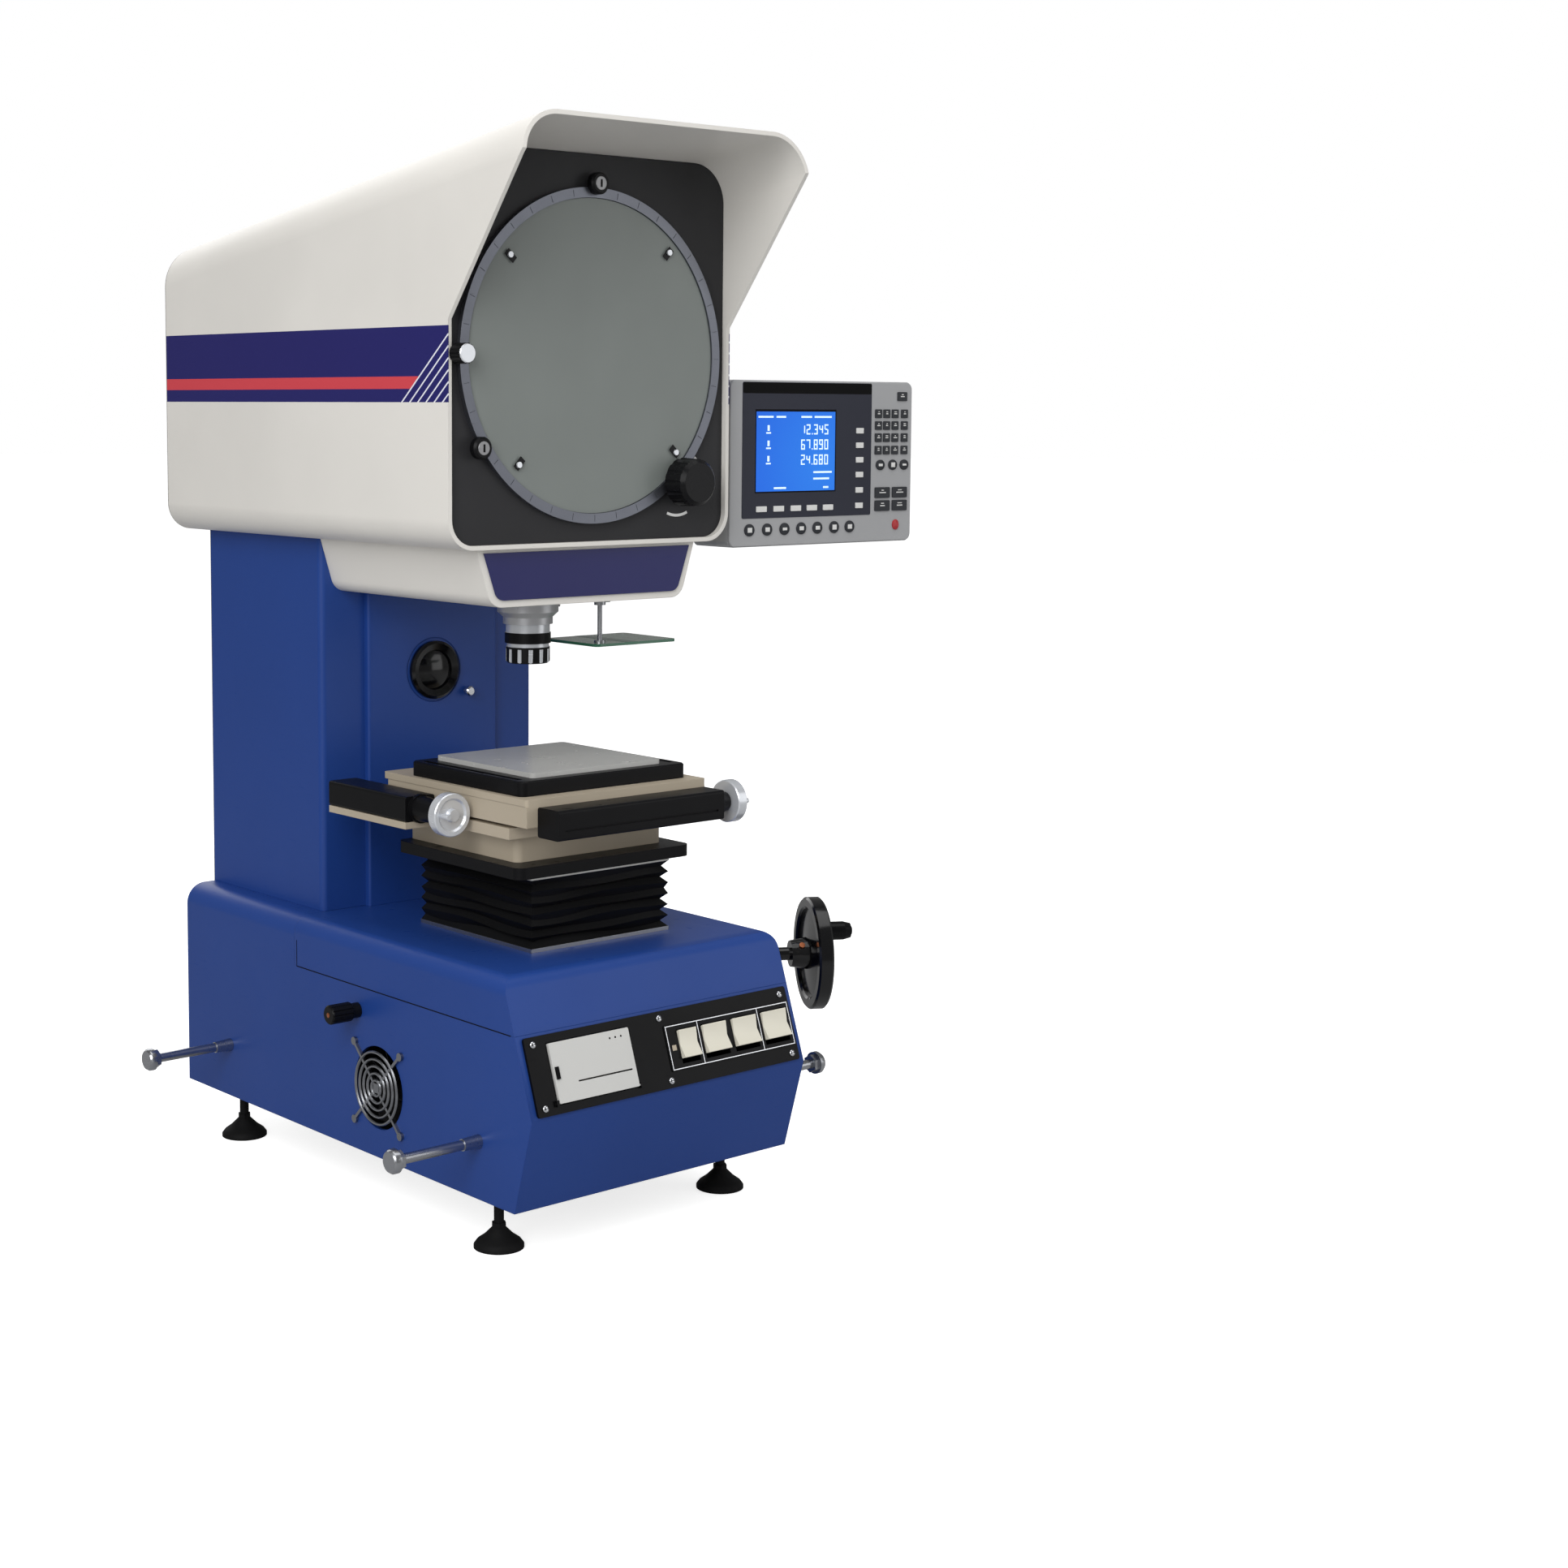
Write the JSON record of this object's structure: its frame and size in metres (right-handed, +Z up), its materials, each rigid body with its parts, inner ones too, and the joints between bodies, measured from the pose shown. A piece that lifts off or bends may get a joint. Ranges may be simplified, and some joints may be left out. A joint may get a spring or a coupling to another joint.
{
  "type": "profile projector",
  "caption": "Bench profile projector: hooded round screen on a column, lifting cross stage on bellows, focus hand wheel and side readout.",
  "frame": {"origin": "on the bench, under the middle of the machine's overall box", "axes": "+Z up, -Y the side the screen and the operator face, +X the side with the hand wheel and the readout"},
  "size_m": [0.758, 0.6765, 1.0932],
  "materials": {
    "blue_enamel": "semi-gloss textured enamel",
    "white_enamel": "satin enamel",
    "navy_plate": "printed foil",
    "grey_cover": "satin enamel",
    "black_panel": "matt black",
    "black_gloss": "moulded black",
    "black_anodised": "black anodised",
    "ring_metal": "grey-blue anodised",
    "ground_glass": "ground matt",
    "clear_glass": "polished",
    "mirror": "front surface mirror",
    "chrome": "bright plated",
    "steel": "ground",
    "zinc": "zinc plated",
    "tan_casting": "tan enamel",
    "bellows_black": "coated fabric",
    "ivory_plastic": "moulded",
    "printer_grey": "moulded",
    "readout_grey": "moulded",
    "lamp_metal": "cast",
    "transformer": "lacquered core"
  },
  "bodies": {
    "frame": {"base_housing": "blue_enamel", "base_deck": "blue_enamel", "base_floor_plate": "zinc", "column_housing": "blue_enamel", "column_front_panel": "blue_enamel", "column_rear_cover": "grey_cover", "head_housing": "white_enamel", "head_rear_cover": "grey_cover", "lens_nose": "white_enamel", "nose_front_plate": "navy_plate", "screen_bezel": "black_panel", "projection_mirrors": "mirror", "lens_mount": "chrome", "objective_lens": "black_anodised", "surface_light": "black_anodised", "lower_light": "lamp_metal", "power_unit": "transformer", "fan_frame": "black_panel", "fan_guard": "chrome", "control_panel": "black_panel", "carry_rods": "steel", "focus_bearing": "black_anodised", "lift_guides": "steel", "bellows": "bellows_black", "bellows_lower_frame": "zinc", "readout_arm": "black_anodised"},
    "readout_swivel": {"readout_knuckle": "steel"},
    "readout": {"readout_case": "readout_grey"},
    "screen_ring": {"screen_ring": "ring_metal", "ground_glass": "ground_glass", "glass_clips": "chrome"},
    "ring_drive_knob": {"ring_drive_knob": "black_gloss"},
    "ring_lock_knob": {"ring_lock_knob": "black_gloss"},
    "ring_roller_top": {"ring_roller_top": "black_gloss"},
    "ring_roller_left": {"ring_roller_left": "black_gloss"},
    "focus_wheel": {"focus_handwheel": "black_gloss"},
    "crank_grip": {"crank_grip": "black_gloss"},
    "lead_screw": {"lead_screw": "steel"},
    "stage_lift": {"lift_plate": "black_anodised", "stage_saddle": "tan_casting", "feed_unit_side": "black_anodised"},
    "side_feed_knob": {"feed_knob_side": "chrome"},
    "cross_carriage": {"cross_carriage": "tan_casting", "feed_unit_front": "black_anodised"},
    "front_feed_knob": {"feed_knob_front": "chrome"},
    "stage_table": {"stage_table": "black_anodised", "stage_glass": "clear_glass"},
    "half_mirror": {"half_mirror": "clear_glass"},
    "fan_impeller": {"fan_impeller": "black_gloss"},
    "printer_door": {"printer_door": "printer_grey"},
    "dimmer_knob": {"dimmer_knob": "black_gloss"},
    "light_clamp_knob": {"light_clamp_knob": "chrome"},
    "rocker_1": {"rocker_1": "ivory_plastic"},
    "rocker_2": {"rocker_2": "ivory_plastic"},
    "rocker_3": {"rocker_3": "ivory_plastic"},
    "rocker_4": {"rocker_4": "ivory_plastic"},
    "foot_front_left": {"foot_front_left": "black_gloss"},
    "foot_front_right": {"foot_front_right": "black_gloss"},
    "foot_rear_left": {"foot_rear_left": "black_gloss"},
    "foot_rear_right": {"foot_rear_right": "black_gloss"}
  },
  "joints": [
    {"name": "stage_lift", "type": "slide", "parent": "frame", "child": "stage_lift", "axis": [0, 0, 1], "range_m": [-0.038, 0.04], "deforming": ["bellows"]},
    {"name": "lead_screw_turn", "type": "hinge", "parent": "frame", "child": "lead_screw", "pos_m": [-0.03666, -0.164, 0.243], "axis": [0, 0, 1], "range_deg": [-1441, 1369]},
    {"name": "focus_wheel_turn", "type": "hinge", "parent": "frame", "child": "focus_wheel", "pos_m": [0.153, -0.2735, 0.243], "axis": [0.866, -0.5, 0], "range_deg": [-1441, 1369]},
    {"name": "crank_grip_spin", "type": "hinge", "parent": "focus_wheel", "child": "crank_grip", "pos_m": [0.19005, -0.24932, 0.25737], "axis": [0.866, -0.5, 0], "continuous": true},
    {"name": "carriage_travel", "type": "slide", "parent": "stage_lift", "child": "cross_carriage", "axis": [0, 1, 0], "range_m": [-0.025, 0.025]},
    {"name": "side_feed_turn", "type": "hinge", "parent": "stage_lift", "child": "side_feed_knob", "pos_m": [-0.238, -0.1635, 0.417], "axis": [0, -1, 0], "range_deg": [-901, 901]},
    {"name": "table_travel", "type": "slide", "parent": "cross_carriage", "child": "stage_table", "axis": [1, 0, 0], "range_m": [-0.05, 0.05]},
    {"name": "front_feed_turn", "type": "hinge", "parent": "cross_carriage", "child": "front_feed_knob", "pos_m": [0.043, -0.2615, 0.417], "axis": [1, 0, 0], "range_deg": [-1801, 1801]},
    {"name": "screen_ring_turn", "type": "hinge", "parent": "frame", "child": "screen_ring", "pos_m": [-0.097, -0.2025, 0.8714], "axis": [0, -1, 0], "continuous": true},
    {"name": "ring_drive_knob_turn", "type": "hinge", "parent": "frame", "child": "ring_drive_knob", "pos_m": [0.01675, -0.2085, 0.74506], "axis": [0, -1, 0], "continuous": true},
    {"name": "ring_roller_top_turn", "type": "hinge", "parent": "frame", "child": "ring_roller_top", "pos_m": [-0.097, -0.2085, 1.0414], "axis": [0, -1, 0], "continuous": true},
    {"name": "ring_roller_left_turn", "type": "hinge", "parent": "frame", "child": "ring_roller_left", "pos_m": [-0.24117, -0.2085, 0.78131], "axis": [0, -1, 0], "continuous": true},
    {"name": "ring_lock_turn", "type": "hinge", "parent": "frame", "child": "ring_lock_knob", "pos_m": [-0.267, -0.2085, 0.8714], "axis": [0, -1, 0], "range_deg": [0, 270]},
    {"name": "half_mirror_swing", "type": "hinge", "parent": "frame", "child": "half_mirror", "pos_m": [-0.041, -0.1485, 0.6], "axis": [0, 0, 1], "range_deg": [-90, 10]},
    {"name": "fan_spin", "type": "hinge", "parent": "frame", "child": "fan_impeller", "pos_m": [-0.262, -0.0795, 0.129], "axis": [1, 0, 0], "continuous": true},
    {"name": "printer_door_swing", "type": "hinge", "parent": "frame", "child": "printer_door", "pos_m": [-0.1915, -0.33513, 0.16443], "axis": [1, 0, 0], "range_deg": [0, 80]},
    {"name": "rocker_1_press", "type": "hinge", "parent": "frame", "child": "rocker_1", "pos_m": [-0.07, -0.31351, 0.18652], "axis": [1, 0, 0], "range_deg": [0, 14]},
    {"name": "rocker_2_press", "type": "hinge", "parent": "frame", "child": "rocker_2", "pos_m": [-0.034, -0.31351, 0.18652], "axis": [1, 0, 0], "range_deg": [0, 14]},
    {"name": "rocker_3_press", "type": "hinge", "parent": "frame", "child": "rocker_3", "pos_m": [0.0065, -0.31351, 0.18652], "axis": [1, 0, 0], "range_deg": [0, 14]},
    {"name": "rocker_4_press", "type": "hinge", "parent": "frame", "child": "rocker_4", "pos_m": [0.048, -0.31351, 0.18652], "axis": [1, 0, 0], "range_deg": [0, 14]},
    {"name": "dimmer_turn", "type": "hinge", "parent": "frame", "child": "dimmer_knob", "pos_m": [-0.284, -0.0425, 0.203], "axis": [-1, 0, 0], "range_deg": [-140, 140]},
    {"name": "light_clamp_turn", "type": "hinge", "parent": "frame", "child": "light_clamp_knob", "pos_m": [-0.054, 0.0695, 0.508], "axis": [0, -1, 0], "range_deg": [0, 360]},
    {"name": "readout_swivel", "type": "hinge", "parent": "frame", "child": "readout_swivel", "pos_m": [0.24, -0.1425, 0.762], "axis": [0, 0, 1], "range_deg": [-40, 40]},
    {"name": "readout_tilt", "type": "hinge", "parent": "readout_swivel", "child": "readout", "pos_m": [0.24, -0.1425, 0.762], "axis": [1, 0, 0], "range_deg": [-15, 20]},
    {"name": "foot_front_left_height", "type": "slide", "parent": "frame", "child": "foot_front_left", "axis": [0, 0, -1], "range_m": [0, 0.012]},
    {"name": "foot_front_right_height", "type": "slide", "parent": "frame", "child": "foot_front_right", "axis": [0, 0, -1], "range_m": [0, 0.012]},
    {"name": "foot_rear_left_height", "type": "slide", "parent": "frame", "child": "foot_rear_left", "axis": [0, 0, -1], "range_m": [0, 0.012]},
    {"name": "foot_rear_right_height", "type": "slide", "parent": "frame", "child": "foot_rear_right", "axis": [0, 0, -1], "range_m": [0, 0.012]}
  ],
  "couplings": [
    {"joint": "lead_screw_turn", "follows": "stage_lift", "rad_per_m": -628.32},
    {"joint": "focus_wheel_turn", "follows": "stage_lift", "rad_per_m": -628.32},
    {"joint": "side_feed_turn", "follows": "carriage_travel", "rad_per_m": 628.32},
    {"joint": "front_feed_turn", "follows": "table_travel", "rad_per_m": 628.32},
    {"joint": "ring_drive_knob_turn", "follows": "screen_ring_turn", "ratio": -6.66},
    {"joint": "ring_roller_top_turn", "follows": "screen_ring_turn", "ratio": -15.136},
    {"joint": "ring_roller_left_turn", "follows": "screen_ring_turn", "ratio": -15.136}
  ]
}
